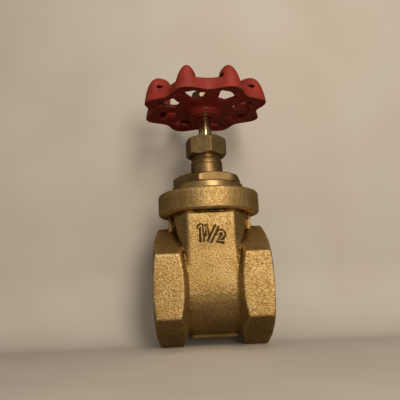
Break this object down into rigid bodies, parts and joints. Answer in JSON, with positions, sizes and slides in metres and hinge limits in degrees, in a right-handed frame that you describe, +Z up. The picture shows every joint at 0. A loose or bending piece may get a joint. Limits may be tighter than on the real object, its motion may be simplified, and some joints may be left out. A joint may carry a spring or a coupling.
{
  "type": "gate valve",
  "caption": "Brass gate valve with hexagonal pipe ends, a screwed bonnet, a non-rising spindle that lifts a wedge, and a red lobed handwheel.",
  "frame": {"origin": "where the axis of the bore crosses the axis of the spindle", "axes": "+X along the bore to the right-hand pipe end, +Z up the spindle to the handwheel, -Y out of the side with the numerals"},
  "size_m": [0.0702, 0.0702, 0.1478],
  "materials": {
    "cast_brass": "grit-blasted casting, fine bright grain",
    "turned_brass": "turned, fine tool marks",
    "nut_brass": "machined hexagon, satin",
    "polished_brass": "polished rod",
    "red_paint": "semi-gloss red paint with small chips, on a casting",
    "gasket_fibre": "matt, off-white",
    "graphite_packing": "matt, dark grey",
    "plated_steel": "yellow-plated, satin"
  },
  "bodies": {
    "valve_body": {"valve_body": "cast_brass", "seat_ring_left": "turned_brass", "seat_ring_right": "turned_brass", "bonnet": "turned_brass", "bonnet_gasket": "gasket_fibre", "spindle_retainer": "turned_brass", "thrust_washer_lower": "gasket_fibre", "thrust_washer_upper": "gasket_fibre", "packing_washer": "turned_brass", "packing_ring_lower": "graphite_packing", "packing_ring_middle": "graphite_packing", "packing_ring_upper": "graphite_packing", "gland_follower": "turned_brass", "packing_nut": "nut_brass"},
    "spindle": {"spindle": "polished_brass", "handwheel": "red_paint", "wheel_washer": "plated_steel", "wheel_nut": "plated_steel"},
    "gate": {"wedge_gate": "turned_brass"}
  },
  "joints": [
    {"name": "handwheel_turn", "type": "hinge", "parent": "valve_body", "child": "spindle", "pos_m": [0, 0, 0.1], "axis": [0, 0, 1], "range_deg": [0, 4080]},
    {"name": "gate_lift", "type": "slide", "parent": "valve_body", "child": "gate", "axis": [0, 0, 1], "range_m": [0, 0.0341]}
  ],
  "couplings": [
    {"joint": "gate_lift", "follows": "handwheel_turn", "m_per_rad": 0.00047746}
  ]
}
